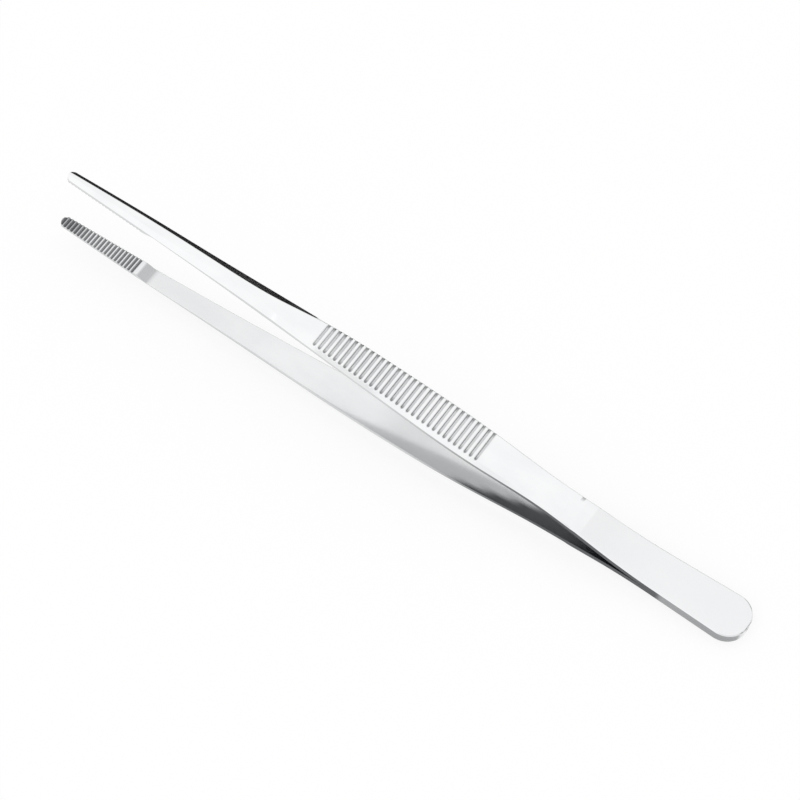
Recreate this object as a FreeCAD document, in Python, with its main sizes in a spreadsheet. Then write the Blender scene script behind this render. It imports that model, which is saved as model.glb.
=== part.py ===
import FreeCAD, Part
import math
import os

import Sketcher
from FreeCAD import Placement, Rotation, Vector

# Thumb forceps, 200 mm long, of stainless steel. Two spring arms of one and the same shape lie back to
# back, their heels welded face to face, and bow apart towards toothed jaws that stand open at rest.
# Each arm is made lying on the weld face: X runs from the nose to the heel, Z away from the other arm.
# Millimetres and degrees throughout.

# An arm is ground to these sections, listed from the nose back. Each has the run from the section
# before it, the arm's width, the clear gap to the other arm, the height of the upright edge, the height
# of the bevel above that edge, and how far the bevel reaches in over the outer face.
SECTIONS = {
    "nose": {"width": 3.0, "gap": 18.6, "edge": 0.95, "rise": 0.5, "bevel": 1.1},
    "jaw": {"run": 23.9, "width": 4.75, "gap": 18.3, "edge": 0.95, "rise": 0.65, "bevel": 1.3},
    "shank": {"run": 18.1, "width": 5.8, "gap": 17.6, "edge": 0.95, "rise": 0.75, "bevel": 1.7},
    "taper": {"run": 18.0, "width": 7.2, "gap": 16.8, "edge": 0.95, "rise": 0.85, "bevel": 1.95},
    "grip_front": {"run": 13.5, "width": 8.6, "gap": 16.0, "edge": 0.75, "rise": 1.2, "bevel": 0.95},
    "grip_middle": {"run": 25.5, "width": 10.8, "gap": 13.2, "edge": 0.8, "rise": 1.25, "bevel": 0.95},
    "grip_back": {"run": 26.0, "width": 11.0, "gap": 9.3, "edge": 0.75, "rise": 1.2, "bevel": 0.9},
    "waist": {"run": 17.0, "width": 9.5, "gap": 6.6, "edge": 0.9, "rise": 0.6, "bevel": 0.5},
    "shoulder": {"run": 9.0, "width": 9.8, "gap": 4.4, "edge": 1.05, "rise": 0.5, "bevel": 0.35},
}
NAMES = list(SECTIONS)


def station(name):
    """Where a section stands along X: the runs up to it, added together."""
    runs = [f"sizes.{step}_run" for step in NAMES[1:NAMES.index(name) + 1]]
    return " + ".join(runs) if runs else "0"


def crest(name):
    """The height of the outer face at a section."""
    return f"sizes.{name}_gap / 2 + sizes.{name}_edge + sizes.{name}_rise"


# Behind the shoulder the arm is a plain strip that runs down to the weld, bends flat there on a wide
# arc and widens into the heel. The root is the corner that the arc rounds off.
SIZES = {
    "root_run": 17.0,
    "strip_thickness": 1.5,
    "root_bend_radius": 130.0,
    "heel_run": 32.0,
    "heel_width": 13.2,
    "heel_corner_radius": 5.8,
    "heel_edge_radius": 0.3,
    "nose_flare": 0.15,
    "grip_count": 32,
    "grip_pitch": 1.56,
    "grip_margin": 1.7,
    "groove_width": 0.95,
    "groove_depth": 0.36,
    "tooth_count": 22,
    "tooth_pitch": 1.05,
    "tooth_margin": 0.6,
    "tooth_width": 0.9,
    "tooth_depth": 0.42,
    "hollow_depth": 0.7,
    "hollow_ramp": 2.8,
    "hollow_radius": 9.0,
    "tool_clearance": 1.0,
}

# The grip's outer face bows along the circle through its front, its middle and its back. These are
# the middle and the back seen from the front, then the circle's centre seen from the front.
BOW = {
    "bow_middle_x": "grip_middle_run",
    "bow_middle_z": f"{crest('grip_middle')} - ({crest('grip_front')})",
    "bow_back_x": "grip_middle_run + grip_back_run",
    "bow_back_z": f"{crest('grip_back')} - ({crest('grip_front')})",
    "bow_middle_square": "bow_middle_x ^ 2 + bow_middle_z ^ 2",
    "bow_back_square": "bow_back_x ^ 2 + bow_back_z ^ 2",
    "bow_turn": "2 * (bow_middle_x * bow_back_z - bow_middle_z * bow_back_x)",
    "bow_centre_x": "(bow_middle_square * bow_back_z - bow_back_square * bow_middle_z) / bow_turn",
    "bow_centre_z": "(bow_back_square * bow_middle_x - bow_middle_square * bow_back_x) / bow_turn",
    "bow_radius": "sqrt(bow_centre_x ^ 2 + bow_centre_z ^ 2)",
}


def fill_sheet(doc):
    """One row for each size: a word and its number, or the formula that gives it."""
    sheet = doc.addObject("Spreadsheet::Sheet", "sizes")
    rows = [(f"{name}_{word}", str(size)) for name in NAMES for word, size in SECTIONS[name].items()]
    rows += [(word, str(size)) for word, size in SIZES.items()]
    rows += [(word, "=" + formula.replace("sizes.", "")) for word, formula in BOW.items()]
    for row, (word, content) in enumerate(rows, start=1):
        sheet.set(f"A{row}", word)
        sheet.set(f"B{row}", content)
        sheet.setAlias(f"B{row}", word)
    doc.recompute()


ROOT = f"{station('shoulder')} + sizes.root_run"
HEEL = f"{ROOT} + sizes.heel_run"
JAW_SLOPE = "((sizes.nose_gap - sizes.jaw_gap) / 2 / sizes.jaw_run)"


def plane_of(body, role):
    return next(item for item in body.Origin.OriginFeatures if item.Role == role)


def new_sketch(body, name, role):
    sketch = body.newObject("Sketcher::SketchObject", name)
    sketch.AttachmentSupport = [(plane_of(body, role), "")]
    sketch.MapMode = "FlatFace"
    return sketch


def value(sketch, formula):
    """The number that a formula of the sheet's words gives."""
    return float(sketch.evalExpression(formula))


def place_point(sketch, line, end, across, up):
    """Ties one end of a line to its distances from the sketch's origin."""
    for kind, size in (("DistanceX", across), ("DistanceY", up)):
        index = sketch.addConstraint(Sketcher.Constraint(kind, -1, 1, line, end, value(sketch, size)))
        sketch.setExpression(f"Constraints[{index}]", size)


def outline(sketch, corners):
    """A closed outline of straight lines. Each corner is two formulas, across and up, and for a corner
    that is rounded a third one, the radius of the arc that touches both its lines."""
    count = len(corners)
    first = len(sketch.Geometry)
    points = [Vector(value(sketch, corner[0]), value(sketch, corner[1]), 0) for corner in corners]
    starts = list(points)
    ends = list(points)
    arcs = {}
    turns_left = {}
    for n, corner in enumerate(corners):
        if len(corner) < 3:
            continue
        back = (points[n - 1] - points[n]).normalize()
        ahead = (points[(n + 1) % count] - points[n]).normalize()
        half = back.getAngle(ahead) / 2
        radius = value(sketch, corner[2])
        ends[n] = points[n] + back * (radius / math.tan(half))
        starts[n] = points[n] + ahead * (radius / math.tan(half))
        centre = points[n] + (back + ahead).normalize() * (radius / math.sin(half))
        middle = centre + (points[n] - centre).normalize() * radius
        turns_left[n] = ahead.cross(back).z > 0
        through = (ends[n], middle, starts[n]) if turns_left[n] else (starts[n], middle, ends[n])
        arcs[n] = Part.Arc(*through)
    for n in range(count):
        sketch.addGeometry(Part.LineSegment(starts[n], ends[(n + 1) % count]))
    for n, corner in enumerate(corners):
        before, after = first + (n - 1) % count, first + n
        if n not in arcs:
            sketch.addConstraint(Sketcher.Constraint("Coincident", before, 2, after, 1))
            place_point(sketch, after, 1, corner[0], corner[1])
            continue
        arc = sketch.addGeometry(arcs[n])
        point = sketch.addGeometry(Part.Point(points[n]), True)
        place_point(sketch, point, 1, corner[0], corner[1])
        sketch.addConstraint(Sketcher.Constraint("PointOnObject", point, 1, before))
        sketch.addConstraint(Sketcher.Constraint("PointOnObject", point, 1, after))
        near, far = (1, 2) if turns_left[n] else (2, 1)
        sketch.addConstraint(Sketcher.Constraint("Tangent", before, 2, arc, near))
        sketch.addConstraint(Sketcher.Constraint("Tangent", arc, far, after, 1))
        index = sketch.addConstraint(Sketcher.Constraint("Radius", arc, value(sketch, corner[2])))
        sketch.setExpression(f"Constraints[{index}]", corner[2])
    return sketch


def ground_section(body, name):
    """A section of the ground part: flat inside, upright edges, bevels and a flat outer face."""
    sketch = new_sketch(body, f"{name}_section", "YZ_Plane")
    sketch.setExpression("AttachmentOffset.Base.z", station(name))
    side = f"sizes.{name}_width / 2"
    crest = f"({side} - min(sizes.{name}_bevel; 0.45 * sizes.{name}_width))"
    inside = f"sizes.{name}_gap / 2"
    edge = f"{inside} + sizes.{name}_edge"
    outside = f"{edge} + sizes.{name}_rise"
    corners = [
        (side, inside), (side, edge), (crest, outside),
        (f"-{crest}", outside), (f"-{side}", edge), (f"-{side}", inside),
    ]
    return outline(sketch, corners)


def lean(face):
    """How far a face looks outwards: 1 for the outer face, 0 for an upright side."""
    low_u, high_u, low_v, high_v = face.ParameterRange
    return face.normalAt((low_u + high_u) / 2, (low_v + high_v) / 2).z


def rim_edges(strip):
    """The names of the strip's edges between its outer face and its upright sides, but for the one at
    the shoulder, where the strip goes on as the ground part."""
    names = []
    for n, edge in enumerate(strip.Edges, start=1):
        leans = sorted(lean(face) for face in strip.ancestorsOfType(edge, Part.Face))
        beyond_shoulder = edge.BoundBox.XMax - strip.BoundBox.XMin > 0.01
        if abs(leans[0]) < 0.1 and leans[-1] > 0.9 and beyond_shoulder:
            names.append(f"Edge{n}")
    return names


def add_strip(body):
    """The plain strip: it leaves the shoulder, bends flat at the weld and ends in the rounded heel."""
    doc = body.Document
    shoulder = station("shoulder")
    past_heel = f"{HEEL} + sizes.tool_clearance"
    rise = "sizes.shoulder_gap / 2"
    side = new_sketch(body, "strip_side", "XZ_Plane")
    outline(side, [
        (shoulder, rise), (ROOT, "0", "sizes.root_bend_radius + sizes.strip_thickness"),
        (past_heel, "0"), (past_heel, "sizes.strip_thickness"),
        (ROOT, "sizes.strip_thickness", "sizes.root_bend_radius"),
        (shoulder, f"{rise} + sizes.strip_thickness"),
    ])
    strip = body.newObject("PartDesign::Pad", "strip")
    strip.Profile = side
    strip.SideType = "Symmetric"
    strip.setExpression("Length", "2 * sizes.heel_width")

    plan = new_sketch(body, "strip_plan", "XY_Plane")
    wide = "sizes.heel_width + sizes.tool_clearance"
    front = f"{shoulder} - sizes.tool_clearance"
    far = f"{HEEL} + 2 * sizes.tool_clearance"
    outline(plan, [(front, f"-({wide})"), (far, f"-({wide})"), (far, wide), (front, wide)])
    corner = "min(sizes.heel_corner_radius; 0.49 * sizes.heel_width)"
    outline(plan, [
        (shoulder, "-sizes.shoulder_width / 2"), (HEEL, "-sizes.heel_width / 2", corner),
        (HEEL, "sizes.heel_width / 2", corner), (shoulder, "sizes.shoulder_width / 2"),
    ])
    trimmed = cut_through(body, "strip_trim", plan)
    doc.recompute()
    rim = body.newObject("PartDesign::Fillet", "outer_rim")
    rim.Base = (trimmed, rim_edges(trimmed.Shape))
    rim.setExpression("Radius", "sizes.heel_edge_radius")
    doc.recompute()


def add_ground_part(body):
    """The shank, grip and jaw: one smooth skin over the ground sections, then the rounded nose."""
    doc = body.Document
    sections = [ground_section(body, name) for name in NAMES]
    skin = body.newObject("PartDesign::AdditiveLoft", "ground_part")
    skin.Profile = sections[0]
    skin.Sections = sections[1:]
    doc.recompute()

    plan = new_sketch(body, "nose_plan", "XY_Plane")
    reach = "(sizes.nose_width / 2 + sizes.nose_flare)"
    front = "-sizes.tool_clearance"
    wide = "sizes.nose_width"
    turn = f"0.98 * {reach}"
    outline(plan, [
        (front, f"-{wide}"), (reach, f"-{wide}"), (reach, f"-{reach}"), ("0", f"-{reach}", turn),
        ("0", reach, turn), (reach, reach), (reach, wide), (front, wide),
    ])
    cut_through(body, "nose_round", plan)
    doc.recompute()


def cut_through(body, name, sketch):
    """A cut both ways from the sketch's plane, through the whole arm."""
    feature = body.newObject("PartDesign::Pocket", name)
    feature.Profile = sketch
    feature.Type = "ThroughAll"
    feature.SideType = "Symmetric"
    return feature


def add_grip(body):
    """Cross grooves over the outer face of the grip, spaced round the circle that the grip follows."""
    doc = body.Document
    groove = new_sketch(body, "groove_side", "XZ_Plane")
    groove.AttachmentOffset = Placement(Vector(), Rotation(Vector(0, 0, 1), 1.0))
    along = f"{station('grip_front')} + sizes.bow_centre_x"
    height = f"{crest('grip_front')} + sizes.bow_centre_z"
    first_turn = "asin((sizes.bow_centre_x - sizes.grip_margin) / sizes.bow_radius)"
    groove.setExpression("AttachmentOffset.Base.x", along)
    groove.setExpression("AttachmentOffset.Base.y", height)
    groove.setExpression("AttachmentOffset.Rotation.Angle", first_turn)
    half = "sizes.groove_width / 2"
    floor = "sizes.bow_radius - sizes.groove_depth"
    above = "sizes.bow_radius + sizes.tool_clearance"
    outline(groove, [
        ("0", floor), (half, "sizes.bow_radius"), (half, above),
        (f"-{half}", above), (f"-{half}", "sizes.bow_radius"),
    ])
    first = cut_through(body, "groove", groove)
    doc.recompute()
    pattern = body.newObject("PartDesign::PolarPattern", "grooves")
    pattern.Originals = [first]
    pattern.Axis = (groove, ["N_Axis"])
    pattern.Reversed = True
    pattern.Mode = "Spacing"
    pattern.setExpression("Offset", "sizes.grip_pitch / sizes.bow_radius * 180 / pi")
    pattern.setExpression("Occurrences", "sizes.grip_count")
    body.Tip = pattern
    doc.recompute()


def jaw_sketch(body, name):
    """A sketch seen from the near side that starts at the nose and runs along the jaw's inner face."""
    sketch = new_sketch(body, name, "XZ_Plane")
    sketch.AttachmentOffset = Placement(Vector(), Rotation(Vector(0, 0, 1), 1.0))
    sketch.setExpression("AttachmentOffset.Base.y", "sizes.nose_gap / 2")
    sketch.setExpression("AttachmentOffset.Rotation.Angle", f"-atan({JAW_SLOPE})")
    return sketch


def add_jaw(body):
    """Cross teeth on the inner face of the jaw, and the hollow behind them that leaves the jaw proud."""
    doc = body.Document
    taper = station("taper")
    inner_face = f"(sizes.taper_gap - sizes.nose_gap) / 2 + ({taper}) * {JAW_SLOPE}"
    below = f"{inner_face} - sizes.tool_clearance"
    hollow = jaw_sketch(body, "hollow_side")
    outline(hollow, [
        ("sizes.jaw_run", below), ("sizes.jaw_run", "0"),
        ("sizes.jaw_run + sizes.hollow_ramp", "sizes.hollow_depth", "sizes.hollow_radius"),
        (taper, inner_face), (taper, below),
    ])
    cut_through(body, "hollow", hollow)
    doc.recompute()

    teeth = jaw_sketch(body, "tooth_side")
    flare = "(sizes.tooth_depth + sizes.tool_clearance) / sizes.tooth_depth"
    half = f"sizes.tooth_width / 2 * {flare}"
    outline(teeth, [
        ("sizes.tooth_margin", "sizes.tooth_depth"),
        (f"sizes.tooth_margin - {half}", "-sizes.tool_clearance"),
        (f"sizes.tooth_margin + {half}", "-sizes.tool_clearance"),
    ])
    first = cut_through(body, "tooth", teeth)
    doc.recompute()
    pattern = body.newObject("PartDesign::LinearPattern", "teeth")
    pattern.Originals = [first]
    pattern.Direction = (teeth, ["H_Axis"])
    pattern.Mode = "Spacing"
    pattern.setExpression("Offset", "sizes.tooth_pitch")
    pattern.setExpression("Occurrences", "sizes.tooth_count")
    body.Tip = pattern
    doc.recompute()


def make_arm(doc, name):
    body = doc.addObject("PartDesign::Body", name)
    body.Label = name
    add_strip(body)
    add_ground_part(body)
    add_grip(body)
    add_jaw(body)
    return body


def support_line(shape):
    """The two points that a table under the shape touches, one each side of its centre of mass."""
    points = {(point.x, point.z) for edge in shape.Edges for point in edge.discretize(25)}
    middle = shape.CenterOfMass.x
    front = [point for point in points if point[0] < middle]
    back = [point for point in points if point[0] > middle]

    def height_at_middle(pair):
        (x1, z1), (x2, z2) = pair
        return z1 + (z2 - z1) * (middle - x1) / (x2 - x1)

    return min(((f, b) for f in front for b in back), key=height_at_middle)


def main():
    os.makedirs("parts", exist_ok=True)
    doc = FreeCAD.newDocument("thumb_forceps")
    fill_sheet(doc)
    upper = make_arm(doc, "upper_arm")

    # The lower arm is the same piece turned over onto the weld face.
    lower = doc.addObject("App::Link", "lower_arm")
    lower.LinkedObject = upper
    lower.Label = "lower_arm"
    turned_over = Placement(Vector(), Rotation(Vector(1, 0, 0), 180))
    lower.Placement = turned_over
    doc.recompute()

    # The pair lies on the lower arm's belly and on the end of its heel. The origin is in the middle
    # of the space that it takes up, at the height of the table.
    (belly_x, belly_z), (heel_x, heel_z) = support_line(lower.Shape.Solids[0])
    tilt = math.degrees(math.atan2(heel_z - belly_z, heel_x - belly_x))
    lying = Placement(Vector(), Rotation(Vector(0, 1, 0), tilt))
    upper.Placement = lying
    lower.Placement = lying * turned_over
    doc.recompute()
    box = Part.makeCompound([upper.Shape, lower.Shape]).optimalBoundingBox(False, False)
    lying.Base = Vector(-box.Center.x, 0, -box.ZMin)
    upper.Placement = lying
    lower.Placement = lying * turned_over
    doc.recompute()

    for item in doc.Objects:
        if "Invalid" in item.State or "Error" in item.State:
            raise RuntimeError(f"{item.Label} failed: {item.State}")
    for arm in (upper, lower):
        if arm.Shape.isNull() or not arm.Shape.isValid() or len(arm.Shape.Solids) != 1:
            raise RuntimeError(f"{arm.Label} is not one sound solid")
        arm.Shape.exportStep(f"parts/{arm.Label}.step")
        print(arm.Label, round(arm.Shape.Volume, 2), arm.Shape.optimalBoundingBox(False, False))
    print("lies at", lying.Base, "tilted by", round(tilt, 3))


main()
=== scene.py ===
import math

import bpy
import numpy as np
from mathutils import Matrix, Vector


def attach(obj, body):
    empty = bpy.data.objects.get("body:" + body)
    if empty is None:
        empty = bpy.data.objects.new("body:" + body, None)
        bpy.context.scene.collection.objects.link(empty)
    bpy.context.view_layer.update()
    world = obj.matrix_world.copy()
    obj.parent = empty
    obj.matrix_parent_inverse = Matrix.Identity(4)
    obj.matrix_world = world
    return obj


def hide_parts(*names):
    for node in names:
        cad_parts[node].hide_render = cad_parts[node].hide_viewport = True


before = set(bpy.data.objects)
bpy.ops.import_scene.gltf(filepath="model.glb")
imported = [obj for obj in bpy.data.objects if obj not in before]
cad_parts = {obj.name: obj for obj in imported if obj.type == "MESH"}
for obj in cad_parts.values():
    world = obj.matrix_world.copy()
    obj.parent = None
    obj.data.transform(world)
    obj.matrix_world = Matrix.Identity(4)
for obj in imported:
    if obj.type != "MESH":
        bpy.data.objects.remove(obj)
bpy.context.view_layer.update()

# Thumb forceps of satin stainless steel, dressed over their CAD solids. An arm is drawn in millimetres
# on its weld face: x runs from the nose to the heel, y across the arm, z away from the other arm. The
# finished arms lie in the frame's own place, in metres.

MM = 0.001

# Where an arm's ground sections stand, and what they measure there.
STATIONS = (0.0, 23.9, 42.0, 60.0, 73.5, 99.0, 125.0, 142.0, 151.0)
HALF_WIDTH = (1.5, 2.375, 2.9, 3.6, 4.3, 5.4, 5.5, 4.75, 4.9)
HALF_GAP = (9.3, 9.15, 8.8, 8.4, 8.0, 6.6, 4.65, 3.3, 2.2)
EDGE = (0.95, 0.95, 0.95, 0.95, 0.75, 0.8, 0.75, 0.9, 1.05)
RISE = (0.5, 0.65, 0.75, 0.85, 1.2, 1.25, 1.2, 0.6, 0.5)
BEVEL = (1.1, 1.3, 1.7, 1.95, 0.95, 0.95, 0.9, 0.5, 0.35)

# The plain strip behind them, which bends flat at the weld on a wide arc and ends in the heel. Its
# section takes over from the ground one within RIM_CHANGE, and its thickness within THICK_CHANGE.
SHOULDER = 151.0
ROOT = 168.0
HEEL = 200.0
STRIP_THICK = 1.5
ROOT_BEND = 130.0
HEEL_HALF = 6.6
HEEL_CORNER = 5.8
HEEL_RIM = 0.3
RIM_CHANGE = 2.0
THICK_CHANGE = 10.0
SATIN_START = 154.0

# The jaw's teeth, the hollow behind them and the grip's grooves.
NOSE_RADIUS = 1.65
JAW_END = 23.9
HOLLOW_DEPTH = 0.7
HOLLOW_RAMP = 2.8
TOOTH = {"count": 22, "pitch": 1.05, "width": 0.9, "depth": 0.42, "first": 0.6}
GROOVE = {"count": 32, "pitch": 1.56, "width": 0.95, "depth": 0.36, "first": 1.7}
GRIP_FRONT, GRIP_MIDDLE, GRIP_BACK = 73.5, 99.0, 125.0

# How much painted shade darkens a groove in its middle and at its ends, and the shares of the arm's half
# width between which the one goes over into the other.
GROOVE_SHADE = (0.25, 0.8)
GROOVE_ENDS = (0.66, 0.76)

# Where along each arm the painted shade changes: the sides start to take painted shade and are fully
# shaded, the inner face starts to take painted shade, and the painted shade at its root starts.
UPPER_SHADE_PLACES = (90.0, 150.0, 62.0, 142.0)
LOWER_SHADE_PLACES = (100.0, 140.0, 92.0, 116.0)

# The steel's tones: ground and matt, each from darker to lighter, then the painted shade on the steel and
# the painted shade in the cuts.
GROUND_TONES = ((0.8, 0.806, 0.815, 1.0), (0.85, 0.854, 0.86, 1.0))
MATT_TONES = ((0.795, 0.8, 0.81, 1.0), (0.81, 0.814, 0.82, 1.0))
PAINTED_SHADE_TONE = (0.12, 0.123, 0.128, 1.0)
CUT_SHADE_TONE = (0.1, 0.103, 0.108, 1.0)

# The shades of the cards that the steel mirrors.
BLACK, GREY = 0.012, 0.4

# How the welded pair lies on the table: on the belly of the lower arm and the end of its heel.
LEAN_BACK = math.radians(4.072)
NOSE_PLACE = (-99.40891, 0.0, 15.67693)

CORNER_SOFTNESS = 0.09

# The flats of a section, counted round from the inner face. The lower arm is turned over, which puts its
# far flats on the near side.
INNER, FAR_SIDE, FAR_BEVEL, OUTER, NEAR_BEVEL, NEAR_SIDE = range(6)
POINTS_ON_FLAT = (8, 3, 6, 8, 6, 3)


def curve_through(heights):
    """A smooth curve through the stations: the height at any x, by natural cubic pieces."""
    x, y = np.array(STATIONS), np.array(heights)
    step, rise = np.diff(x), np.diff(y)
    size = len(x)
    left, right = np.eye(size), np.zeros(size)
    for n in range(1, size - 1):
        left[n, n - 1:n + 2] = step[n - 1], 2 * (step[n - 1] + step[n]), step[n]
        right[n] = 6 * (rise[n] / step[n] - rise[n - 1] / step[n - 1])
    bend = np.linalg.solve(left, right)

    def at(place):
        n = int(np.clip(np.searchsorted(x, place) - 1, 0, size - 2))
        a, b = x[n + 1] - place, place - x[n]
        return float((bend[n] * a ** 3 + bend[n + 1] * b ** 3) / (6 * step[n])
                     + (y[n] / step[n] - bend[n] * step[n] / 6) * a
                     + (y[n + 1] / step[n] - bend[n + 1] * step[n] / 6) * b)

    return at


half_width = curve_through(HALF_WIDTH)
half_gap = curve_through(HALF_GAP)
edge_height = curve_through(EDGE)
bevel_rise = curve_through(RISE)
bevel_reach = curve_through(BEVEL)


def ease(x, start, end):
    t = min(max((x - start) / (end - start), 0.0), 1.0)
    return t * t * (3 - 2 * t)


def root_rise(x, radius):
    """How far a face of the strip stands above its flat part: a slope, then an arc of this radius."""
    slope = HALF_GAP[-1] / (ROOT - SHOULDER)
    reach = radius * math.tan(math.atan(slope) / 2)
    if x < ROOT - reach:
        return slope * (ROOT - x)
    return radius - math.sqrt(radius ** 2 - max(ROOT + reach - x, 0.0) ** 2)


def inner_face(x):
    """The height of the arm's inner face, with the hollow behind the jaw."""
    if x >= SHOULDER:
        return root_rise(x, ROOT_BEND + STRIP_THICK)
    face = half_gap(x)
    taper = STATIONS[3]
    if JAW_END < x < taper:
        jaw_line = HALF_GAP[0] + (HALF_GAP[1] - HALF_GAP[0]) * x / JAW_END
        jaw_line_end = HALF_GAP[0] + (HALF_GAP[1] - HALF_GAP[0]) * taper / JAW_END
        ramp_end = JAW_END + HOLLOW_RAMP
        if x < ramp_end:
            sunk = HOLLOW_DEPTH * (x - JAW_END) / HOLLOW_RAMP
        else:
            left = HALF_GAP[3] - jaw_line_end - HOLLOW_DEPTH
            sunk = HOLLOW_DEPTH + left * (x - ramp_end) / (taper - ramp_end)
        face = max(face, jaw_line + sunk)
    return face


def plan_half(x, inset=0.0):
    """Half the arm's width seen from above, with the rounded nose and heel."""
    if x < NOSE_RADIUS:
        return min(half_width(x), math.sqrt(max(NOSE_RADIUS ** 2 - (NOSE_RADIUS - x) ** 2, 0.0)))
    if x <= SHOULDER:
        return half_width(x)
    side = HALF_WIDTH[-1] + (HEEL_HALF - HALF_WIDTH[-1]) * (x - SHOULDER) / (HEEL - SHOULDER) - inset
    lean = math.atan((HEEL_HALF - HALF_WIDTH[-1]) / (HEEL - SHOULDER))
    middle_x = HEEL - HEEL_CORNER
    middle_y = HEEL_HALF - HEEL_CORNER * math.tan((math.pi / 2 + lean) / 2)
    along = x - middle_x
    if along <= -HEEL_CORNER * math.sin(lean):
        return side
    radius = HEEL_CORNER - inset
    return middle_y + math.sqrt(max(radius ** 2 - along ** 2, 0.0))


def six_corners(side, low, shoulder_z, crest, top):
    return [(-side, low), (side, low), (side, shoulder_z), (crest, top), (-crest, top), (-side, shoulder_z)]


def section(x):
    """The six corners of the arm's section at x, as (y, z), round from the near inner corner."""
    side = plan_half(x)
    low = inner_face(x)
    if x <= SHOULDER:
        edge, rise, reach = edge_height(x), bevel_rise(x), bevel_reach(x)
        full = half_width(x)
        crest = full - min(reach, 0.9 * full)
        top = low + edge + rise
        if JAW_END < x < STATIONS[3]:
            top = half_gap(x) + edge + rise
            edge = top - rise - low
        shoulder_z = low + edge
        if side < full:
            shoulder_z = top - rise * max(side - crest, 0.0) / (full - crest)
            crest = min(crest, side)
        return six_corners(side, low, shoulder_z, crest, top)
    joined = ease(x, SHOULDER, SHOULDER + RIM_CHANGE)
    rim = BEVEL[-1] + (HEEL_RIM - BEVEL[-1]) * joined
    drop = RISE[-1] + (HEEL_RIM - RISE[-1]) * joined
    top = STRIP_THICK + root_rise(x, ROOT_BEND)
    top += (EDGE[-1] + RISE[-1] - STRIP_THICK) * (1 - ease(x, SHOULDER, SHOULDER + THICK_CHANGE))
    shoulder_z = top - drop
    from_end = HEEL - x
    if from_end < HEEL_RIM:
        top -= HEEL_RIM - from_end
        crest = min(side, HEEL_HALF - HEEL_CORNER)
    else:
        crest = plan_half(x, rim)
    return six_corners(side, low, shoulder_z, crest, top)


def softened(corners):
    """The section with each corner turned on a small arc, and with points spread over its flats. Each
    point comes with the number of the flat that it lies on, counted from the inner face."""
    points = []
    count = len(corners)
    turned = []
    for n in range(count):
        here = np.array(corners[n])
        back, ahead = np.array(corners[n - 1]) - here, np.array(corners[(n + 1) % count]) - here
        reach = min(CORNER_SOFTNESS, 0.3 * np.linalg.norm(back), 0.3 * np.linalg.norm(ahead))
        before = here + back / max(np.linalg.norm(back), 1e-9) * reach
        after = here + ahead / max(np.linalg.norm(ahead), 1e-9) * reach
        turned.append([before * (1 - t) ** 2 + here * 2 * t * (1 - t) + after * t ** 2
                       for t in (0, 0.25, 0.5, 0.75, 1)])
    for n in range(count):
        start, end = turned[n][-1], turned[(n + 1) % count][0]
        points += [(*spot, (n - 1) % count) for spot in turned[n][:2]]
        points += [(*spot, n) for spot in turned[n][2:]]
        shares = [0.02] + list(np.linspace(0.0, 1.0, POINTS_ON_FLAT[n])[1:-1]) + [0.98]
        points += [(*(start + (end - start) * share), n) for share in shares]
    return points


def ring_places():
    """Where the arm's rings stand along x: close together over the teeth, the grooves and the ends."""
    nose = [NOSE_RADIUS * (1 - math.cos(math.pi / 2 * n / 18)) for n in range(19)]
    nose[0] = 0.0004
    jaw = np.arange(NOSE_RADIUS + 0.1, JAW_END - 0.05, TOOTH["pitch"] / 12)
    ramp = np.linspace(JAW_END, JAW_END + HOLLOW_RAMP, 10)
    shank = np.linspace(JAW_END + HOLLOW_RAMP + 0.3, GRIP_FRONT, 70)
    grip = np.arange(GRIP_FRONT + 0.3, GRIP_BACK, GROOVE["pitch"] / 16)
    strip = np.linspace(GRIP_BACK + 0.1, HEEL - HEEL_CORNER - 1.0, 150)
    bend = HEEL - HEEL_CORNER - 1.0
    heel = [bend + (HEEL_CORNER + 0.9) * math.sin(math.pi / 2 * n / 60) for n in range(1, 61)]
    rim = [HEEL - 0.08, HEEL - 0.06, HEEL - 0.03, HEEL]
    return sorted([*nose, *jaw, *ramp, *shank, *grip, *strip, *heel, *rim])


def painted_shade_at(x, y, flat, side_start, side_end, inner_start, root_start):
    """How much shade is painted on the steel: on the sides, painted dark reflections that grow towards the
    root and fade again round the heel's end; on the inner face, painted shade, darker at the nose, a
    painted dark reflection in the hollow and, from the edge at +y inwards, painted shade towards the root
    between the arms; and small painted dark spots on the rim at the shoulder and the heel."""
    half = plan_half(x)
    # A small painted dark spot on the rim at the shoulder.
    if flat == OUTER:
        at_shoulder = y > half - 0.9 and abs(x - SHOULDER + 1.2) < 0.45
        return 0.55 if at_shoulder else 0.0
    # Painted dark reflections on the sides.
    if flat in (FAR_SIDE, NEAR_SIDE):
        sides = 0.2 + 0.8 * ease(x, side_start, side_end) - 0.36 * ease(x, ROOT + 9.0, ROOT + 11.0)
        return sides * (1 - ease(x, HEEL - 0.9, HEEL - 0.25))
    # A painted dark arc on the far bevel near the heel.
    if flat == FAR_BEVEL:
        return 0.8 * (ease(x, HEEL - 5.2, HEEL - 4.0) - ease(x, HEEL - 2.2, HEEL - 1.2))
    # Painted shade and dark reflections on the inner face, between the arms.
    if flat == INNER:
        inwards = 5.2 * (half - y)
        inner_shade = 0.08 + 0.14 * ease(x, inner_start, inner_start + 12.0)
        root = 0.78 * ease(x - inwards, root_start, root_start + 8.0)
        nose = 0.5 * (1 - ease(x, 3.0, 9.0))
        hollow = 0.4 * (ease(x, JAW_END + 0.1, JAW_END + 0.5) - ease(x, JAW_END + 3.0, JAW_END + 4.2))
        return min(1.0, inner_shade + root + nose + hollow)
    return 0.0


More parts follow.
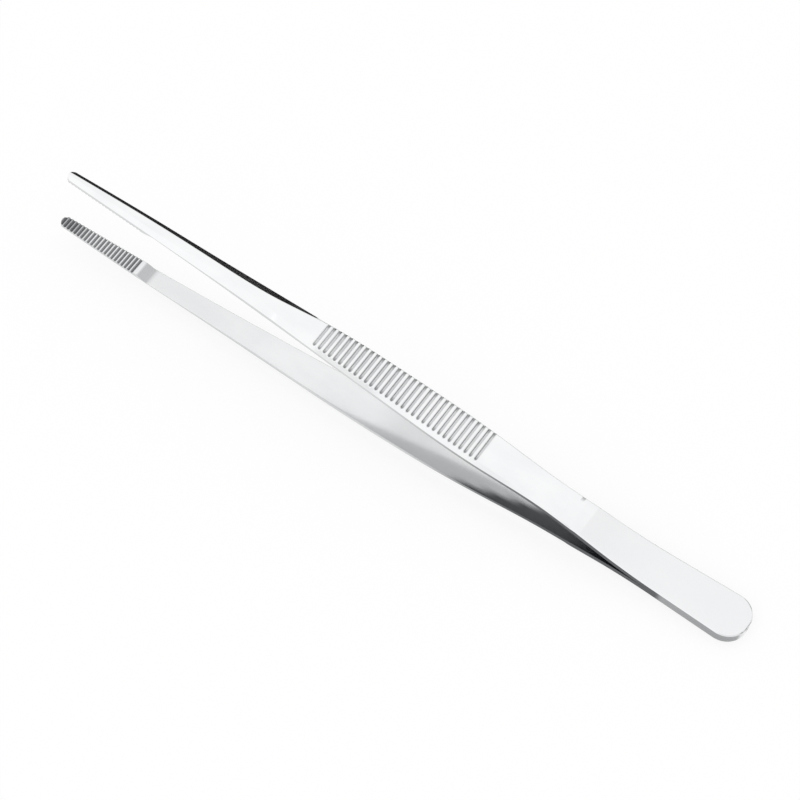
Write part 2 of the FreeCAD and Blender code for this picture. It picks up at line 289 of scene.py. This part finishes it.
def arm_blank(name, shade_places):
    """The arm before its teeth and grooves are cut: rings of points skinned with quads. One attribute
    holds how much shade is painted on the steel, "satin" marks the heel's matt outer face, and "rim" how
    far out across the arm a point lies."""
    places = ring_places()
    rings = [softened(section(x)) for x in places]
    size = len(rings[0])
    points = [(x, y, z) for x, ring in zip(places, rings) for y, z, _ in ring]
    # The shade painted on the steel, point by point.
    painted_shade = [painted_shade_at(x, y, flat, *shade_places)
            for x, ring in zip(places, rings) for y, _, flat in ring]
    satin = [float(x > SATIN_START and flat in (FAR_BEVEL, OUTER, NEAR_BEVEL))
             for x, ring in zip(places, rings) for _, _, flat in ring]
    rim = [abs(y) / max(plan_half(x), 0.1) for x, ring in zip(places, rings) for y, _, _ in ring]
    faces = []
    for n in range(len(rings) - 1):
        for k in range(size):
            a, b = n * size + k, n * size + (k + 1) % size
            faces.append((b, a, a + size, b + size))
    faces.append(tuple(range(size)))
    faces.append(tuple(reversed(range(len(points) - size, len(points)))))
    mesh = bpy.data.meshes.new(name)
    mesh.from_pydata(points, [], faces)
    mesh.shade_smooth()
    for word, values in (("painted_shade", painted_shade), ("satin", satin), ("rim", rim)):
        mesh.attributes.new(word, "FLOAT", "POINT").data.foreach_set("value", values)
    return mesh


def bow_circle():
    """The circle along which the grip's outer face bows: its centre (x, z) and its radius."""
    places = [STATIONS.index(x) for x in (GRIP_FRONT, GRIP_MIDDLE, GRIP_BACK)]
    spots = [Vector((STATIONS[n], HALF_GAP[n] + EDGE[n] + RISE[n])) for n in places]
    middle, back = spots[1] - spots[0], spots[2] - spots[0]
    turn = 2 * (middle.x * back.y - middle.y * back.x)
    offset = Vector((middle.length_squared * back.y - back.length_squared * middle.y,
                     back.length_squared * middle.x - middle.length_squared * back.x)) / turn
    return spots[0] + offset, offset.length


class Bench:
    """A node tree under way: it places nodes and wires or sets their inputs."""

    def __init__(self, tree):
        self.tree = tree

    def put(self, kind, *inputs, **settings):
        node = self.tree.nodes.new(kind)
        for name, setting in settings.items():
            setattr(node, name, setting)
        self.feed(node, dict(enumerate(inputs)))
        return node

    def feed(self, node, inputs):
        for key, source in inputs.items():
            if isinstance(source, bpy.types.NodeSocket):
                self.tree.links.new(source, node.inputs[key])
            elif source is not None:
                node.inputs[key].default_value = source

    def sum(self, operation, *inputs):
        return self.put("ShaderNodeMath", *inputs, operation=operation).outputs[0]


def cutting_tree():
    """Cuts the grip's grooves and the jaw's teeth into an arm blank, turns it over if it is the lower
    arm, and lays it in place. How much shade is painted into the cuts is kept as a point attribute."""
    tree = bpy.data.node_groups.new("cut_and_lay_arm", "GeometryNodeTree")
    face = tree.interface
    face.new_socket("Blank", in_out="INPUT", socket_type="NodeSocketGeometry")
    for name in ("Groove Count", "Groove Pitch", "Groove Width", "Groove Depth", "Groove First Turn",
                 "Bow Radius", "Tooth Count", "Tooth Pitch", "Tooth Width", "Tooth Depth", "Tooth First",
                 "Jaw Height", "Jaw Slope"):
        face.new_socket(name, in_out="INPUT", socket_type="NodeSocketFloat")
    for name in ("Bow Centre", "Turn Over", "Lean Back", "Nose Place"):
        face.new_socket(name, in_out="INPUT", socket_type="NodeSocketVector")
    face.new_socket("Steel", in_out="INPUT", socket_type="NodeSocketMaterial")
    face.new_socket("Arm", in_out="OUTPUT", socket_type="NodeSocketGeometry")
    bench = Bench(tree)
    sizes = bench.put("NodeGroupInput").outputs
    place = bench.put("ShaderNodeSeparateXYZ", bench.put("GeometryNodeInputPosition").outputs[0]).outputs
    centre = bench.put("ShaderNodeSeparateXYZ", sizes["Bow Centre"]).outputs
    work = bench.sum

    def from_nearest(along, first, pitch, count):
        """How far a place is from the nearest cut of the row."""
        past = work("SUBTRACT", along, first)
        number = work("ROUND", work("DIVIDE", past, pitch))
        number = work("MAXIMUM", work("MINIMUM", number, work("SUBTRACT", count, 1.0)), 0.0)
        return work("ABSOLUTE", work("SUBTRACT", past, work("MULTIPLY", number, pitch)))

    def notch(off, width, depth):
        """How deep a V notch is at a distance from its middle; below zero outside it."""
        share = work("SUBTRACT", 1.0, work("DIVIDE", off, work("MULTIPLY", width, 0.5)))
        inside = work("GREATER_THAN", share, 0.0)
        return work("MULTIPLY", share, depth), inside

    # The grooves, on the bow circle.
    out_x = work("SUBTRACT", place["X"], centre["X"])
    out_z = work("SUBTRACT", place["Z"], centre["Z"])
    radius = work("SQRT", work("ADD", work("MULTIPLY", out_x, out_x), work("MULTIPLY", out_z, out_z)))
    turn = work("ARCTAN2", out_x, out_z)
    along = work("MULTIPLY", turn, sizes["Bow Radius"])
    first = work("MULTIPLY", sizes["Groove First Turn"], sizes["Bow Radius"])
    off = from_nearest(along, first, sizes["Groove Pitch"], sizes["Groove Count"])
    depth, inside = notch(off, sizes["Groove Width"], sizes["Groove Depth"])
    floor = work("SUBTRACT", sizes["Bow Radius"], depth)
    above = work("MULTIPLY", inside, work("MAXIMUM", work("SUBTRACT", radius, floor), 0.0))
    kept = work("DIVIDE", work("SUBTRACT", radius, above), radius)
    groove_x = work("ADD", centre["X"], work("MULTIPLY", out_x, kept))
    groove_z = work("ADD", centre["Z"], work("MULTIPLY", out_z, kept))
    groove_share = work("DIVIDE", above, sizes["Groove Depth"])

    # The teeth, on the jaw's inner face.
    jaw_face = work("SUBTRACT", sizes["Jaw Height"], work("MULTIPLY", place["X"], sizes["Jaw Slope"]))
    sunk = work("SUBTRACT", place["Z"], jaw_face)
    off = from_nearest(place["X"], sizes["Tooth First"], sizes["Tooth Pitch"], sizes["Tooth Count"])
    depth, inside = notch(off, sizes["Tooth Width"], sizes["Tooth Depth"])
    below = work("MULTIPLY", inside, work("MAXIMUM", work("SUBTRACT", depth, sunk), 0.0))
    tooth_share = work("DIVIDE", below, sizes["Tooth Depth"])

    spot = bench.put("ShaderNodeCombineXYZ", groove_x, place["Y"], work("ADD", groove_z, below)).outputs[0]
    # How much shade is painted into each cut: more at the grooves' ends, out at the rims of the grip.
    rim = bench.put("GeometryNodeInputNamedAttribute", "rim", data_type="FLOAT").outputs["Attribute"]
    ends = bench.put("ShaderNodeMapRange", rim, *GROOVE_ENDS, *GROOVE_SHADE).outputs[0]
    recess = work("MAXIMUM", work("MULTIPLY", groove_share, ends), tooth_share)
    captured = bench.put("GeometryNodeCaptureAttribute")
    captured.capture_items.new("FLOAT", "recess")
    bench.feed(captured, {"Geometry": sizes["Blank"], "recess": recess})
    cut = bench.put("GeometryNodeSetPosition")
    bench.feed(cut, {"Geometry": captured.outputs["Geometry"], "Position": spot})
    marked = bench.put("GeometryNodeStoreNamedAttribute", data_type="FLOAT", domain="POINT")
    bench.feed(marked, {"Geometry": cut.outputs[0], "Name": "recess", "Value": captured.outputs["recess"]})

    turned = bench.put("GeometryNodeTransform")
    bench.feed(turned, {"Geometry": marked.outputs[0], "Rotation": sizes["Turn Over"]})
    laid = bench.put("GeometryNodeTransform")
    bench.feed(laid, {"Geometry": turned.outputs[0], "Rotation": sizes["Lean Back"],
                      "Translation": sizes["Nose Place"]})
    metres = bench.put("GeometryNodeTransform")
    bench.feed(metres, {"Geometry": laid.outputs[0], "Scale": (MM, MM, MM)})
    whole = bench.put("GeometryNodeRealizeInstances", metres.outputs[0])
    steel = bench.put("GeometryNodeSetMaterial")
    bench.feed(steel, {"Geometry": whole.outputs[0], "Material": sizes["Steel"]})
    bench.put("NodeGroupOutput", steel.outputs[0])
    return tree


def finished_arm(name, blank, tree, turn_over, steel):
    """One arm, cut and laid in place, as a plain mesh at the origin."""
    centre, radius = bow_circle()
    first_turn = math.asin((GRIP_FRONT + GROOVE["first"] - centre.x) / radius)
    sizes = {
        "Groove Count": GROOVE["count"], "Groove Pitch": GROOVE["pitch"], "Groove Width": GROOVE["width"],
        "Groove Depth": GROOVE["depth"], "Groove First Turn": first_turn, "Bow Radius": radius,
        "Tooth Count": TOOTH["count"], "Tooth Pitch": TOOTH["pitch"], "Tooth Width": TOOTH["width"],
        "Tooth Depth": TOOTH["depth"], "Tooth First": TOOTH["first"], "Jaw Height": HALF_GAP[0],
        "Jaw Slope": (HALF_GAP[0] - HALF_GAP[1]) / JAW_END, "Bow Centre": (centre.x, 0.0, centre.y),
        "Turn Over": (turn_over, 0.0, 0.0), "Lean Back": (0.0, LEAN_BACK, 0.0), "Nose Place": NOSE_PLACE,
        "Steel": steel,
    }
    work = bpy.data.objects.new(f"{name}_blank", blank)
    bpy.context.scene.collection.objects.link(work)
    modifier = work.modifiers.new("cut_and_lay", "NODES")
    modifier.node_group = tree
    sockets = {item.name: item.identifier
               for item in tree.interface.items_tree if item.in_out == "INPUT"}
    for word, size in sizes.items():
        modifier[sockets[word]] = float(size) if isinstance(size, int) else size
    graph = bpy.context.evaluated_depsgraph_get()
    mesh = bpy.data.meshes.new_from_object(work.evaluated_get(graph), depsgraph=graph,
                                           preserve_all_data_layers=True)
    bpy.data.objects.remove(work)
    mesh.name = name
    arm = bpy.data.objects.new(name, mesh)
    bpy.context.scene.collection.objects.link(arm)
    return arm


def satin_steel():
    """Ground stainless steel: fine lines from the grinding belt and faint clouding, a matt heel, painted
    shade and dark reflections on the sides and inner faces, and painted shade on the floors of the
    grooves and between the teeth."""
    material = bpy.data.materials.new("satin_steel")
    material.use_nodes = True
    tree = material.node_tree
    tree.nodes.clear()
    bench = Bench(tree)
    coords = bench.put("ShaderNodeTexCoord").outputs["Object"]

    def mark(name):
        return bench.put("ShaderNodeAttribute", attribute_name=name).outputs["Fac"]

    def noise(stretch, scale, detail, roughness=0.5):
        mapped = bench.put("ShaderNodeMapping")
        bench.feed(mapped, {"Vector": coords, "Scale": stretch})
        pattern = bench.put("ShaderNodeTexNoise")
        bench.feed(pattern, {"Vector": mapped.outputs[0], "Scale": scale, "Detail": detail,
                             "Roughness": roughness})
        return pattern.outputs["Fac"]

    def spread(source, low, high, from_low=0.3, from_high=0.7):
        node = bench.put("ShaderNodeMapRange")
        bench.feed(node, {"Value": source, "From Min": from_low, "From Max": from_high,
                          "To Min": low, "To Max": high})
        return node.outputs[0]

    def blend(share, first, second):
        node = bench.put("ShaderNodeMix", data_type="RGBA")
        bench.feed(node, {0: share, 6: first, 7: second})
        return node.outputs[2]

    recess, painted_shade, satin = mark("recess"), mark("painted_shade"), mark("satin")
    belt_lines = noise((0.06, 1.0, 1.0), 9000.0, 3.0, 0.6)
    clouding = noise((0.5, 1.0, 1.0), 160.0, 3.0)
    bright = blend(spread(clouding, 0.0, 1.0), *GROUND_TONES)
    matt = blend(spread(clouding, 0.0, 1.0), *MATT_TONES)
    tone = blend(satin, bright, matt)
    # Painted shade and painted dark reflections darken the steel.
    tone = blend(painted_shade, tone, PAINTED_SHADE_TONE)
    # Painted shade in the grooves and between the teeth.
    tone = blend(spread(recess, 0.0, 1.0, 0.0, 1.0), tone, CUT_SHADE_TONE)
    gloss = bench.sum("ADD", spread(belt_lines, 0.1, 0.16), bench.sum("MULTIPLY", satin, 0.08))
    gloss = bench.sum("ADD", gloss, bench.sum("MULTIPLY", bench.sum("MAXIMUM", painted_shade, recess), 0.2))
    relief = bench.put("ShaderNodeBump")
    bench.feed(relief, {"Strength": 0.06, "Distance": 0.00002, "Height": belt_lines})
    steel = bench.put("ShaderNodeBsdfPrincipled")
    bench.feed(steel, {"Base Color": tone, "Metallic": 1.0, "Roughness": gloss,
                       "Normal": relief.outputs[0]})
    bench.put("ShaderNodeOutputMaterial", steel.outputs[0])
    return material


def stage_sheet(name, corners, material):
    """A flat four-cornered sheet of the set, which isn't part of the forceps."""
    mesh = bpy.data.meshes.new(name)
    mesh.from_pydata(corners, [], [(0, 1, 2, 3)])
    mesh.materials.append(material)
    sheet = bpy.data.objects.new(name, mesh)
    bpy.context.scene.collection.objects.link(sheet)
    return sheet


def away_at(azimuth, elevation):
    """The direction from the forceps at these angles in degrees; azimuth 0 is the near side."""
    azimuth, elevation = math.radians(azimuth), math.radians(elevation)
    return Vector((math.sin(azimuth) * math.cos(elevation), -math.cos(azimuth) * math.cos(elevation),
                   math.sin(elevation)))


def seen_or_mirrored(bench):
    """1 for rays from the camera and from shiny or clear surfaces, 0 for the light on matt ones."""
    rays = bench.put("ShaderNodeLightPath").outputs
    return bench.sum("MAXIMUM", bench.sum("MAXIMUM", rays["Is Camera Ray"], rays["Is Glossy Ray"]),
                     rays["Is Transmission Ray"])


def white_floor():
    """A white sweep of matt paper, shown as white and still taking the forceps' soft shadow."""
    half = 12.0
    material = bpy.data.materials.new("white_paper")
    material.use_nodes = True
    material.node_tree.nodes.clear()
    bench = Bench(material.node_tree)
    matt = bench.put("ShaderNodeBsdfDiffuse")
    bench.feed(matt, {"Color": (0.95, 0.95, 0.95, 1.0)})
    glow = bench.put("ShaderNodeEmission")
    share = bench.sum("MULTIPLY", seen_or_mirrored(bench), 0.8)
    both = bench.put("ShaderNodeMixShader", share, matt.outputs[0], glow.outputs[0])
    bench.put("ShaderNodeOutputMaterial", both.outputs[0])
    stage_sheet("floor", [(-half, -half, 0), (half, -half, 0), (half, half, 0), (-half, half, 0)], material)


def white_room():
    world = bpy.data.worlds.new("white_room")
    bpy.context.scene.world = world
    world.use_nodes = True
    world.node_tree.nodes.clear()
    bench = Bench(world.node_tree)
    glow = bench.put("ShaderNodeBackground")
    bench.feed(glow, {"Color": (1.0, 1.0, 1.0, 1.0), "Strength": 0.98})
    bench.put("ShaderNodeOutputWorld", glow.outputs[0])


def dark_card(name, shade, corners):
    """A black or grey card beside the set. It is out of the picture and shows in the steel alone."""
    material = bpy.data.materials.new("black_card")
    material.use_nodes = True
    shader = material.node_tree.nodes["Principled BSDF"]
    shader.inputs["Base Color"].default_value = (shade, shade, shade, 1.0)
    shader.inputs["Roughness"].default_value = 0.9
    card = stage_sheet(name, corners, material)
    card.visible_camera = False
    card.visible_diffuse = False
    card.visible_shadow = False


def soft_lamp(name, azimuth, elevation, distance, size, power):
    """A round soft lamp that looks at the middle of the forceps."""
    away = away_at(azimuth, elevation)
    light = bpy.data.lights.new(name, "AREA")
    light.shape = "DISK"
    light.size = size
    light.energy = power
    lamp = bpy.data.objects.new(name, light)
    facing = away.to_track_quat("Z", "Y").to_matrix().to_4x4()
    lamp.matrix_world = Matrix.Translation(away * distance) @ facing
    bpy.context.scene.collection.objects.link(lamp)


def photo_camera():
    """The camera of the reference picture: a long lens, looking down from the near side, a little
    rolled."""
    away, roll = away_at(24.338, 55.402), math.radians(9.685)
    level_right = Vector((0, 0, 1)).cross(away).normalized()
    level_up = away.cross(level_right)
    right = level_right * math.cos(roll) + level_up * math.sin(roll)
    up = level_up * math.cos(roll) - level_right * math.sin(roll)
    aim, distance = Vector((-0.879, 1.508, 9.928)) * MM, 0.9766
    camera = bpy.data.cameras.new("camera")
    camera.sensor_width = 36.0
    camera.lens = 180.0
    camera.clip_start, camera.clip_end = 0.01, 50.0
    stand = bpy.data.objects.new("camera", camera)
    facing = Matrix((right, up, away)).transposed().to_4x4()
    stand.matrix_world = Matrix.Translation(aim + away * distance) @ facing
    bpy.context.scene.collection.objects.link(stand)
    bpy.context.scene.camera = stand


steel = satin_steel()
tree = cutting_tree()
upper_blank = arm_blank("upper_blank", UPPER_SHADE_PLACES)
lower_blank = arm_blank("lower_blank", LOWER_SHADE_PLACES)
upper_arm = finished_arm("upper_arm_steel", upper_blank, tree, 0.0, steel)
lower_arm = finished_arm("lower_arm_steel", lower_blank, tree, math.pi, steel)
for arm, node in ((upper_arm, "upper_arm"), (lower_arm, "lower_arm")):
    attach(arm, "root")
    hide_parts(node)

white_floor()
white_room()
dark_card("far_card", BLACK, [(-1.8, 0.6, 0.0), (0.05, 0.6, 0.0), (0.05, 0.6, 0.3), (-1.8, 0.6, 0.3)])
dark_card("far_mat", BLACK, [(-1.8, 0.03, 0.001), (-0.03, 0.03, 0.001), (0.05, 0.6, 0.001),
                             (-1.8, 0.6, 0.001)])
dark_card("low_card", GREY, [(2.0, 1.9, 0.0), (2.7, 0.2, 0.0), (2.7, 0.2, 0.9), (2.0, 1.9, 0.9)])
soft_lamp("top_lamp", 190.0, 85.0, 1.2, 1.41, 0.75)
soft_lamp("near_lamp", -18.0, 38.0, 1.2, 1.3, 0.63)
photo_camera()
bpy.context.scene.view_settings.view_transform = "Standard"
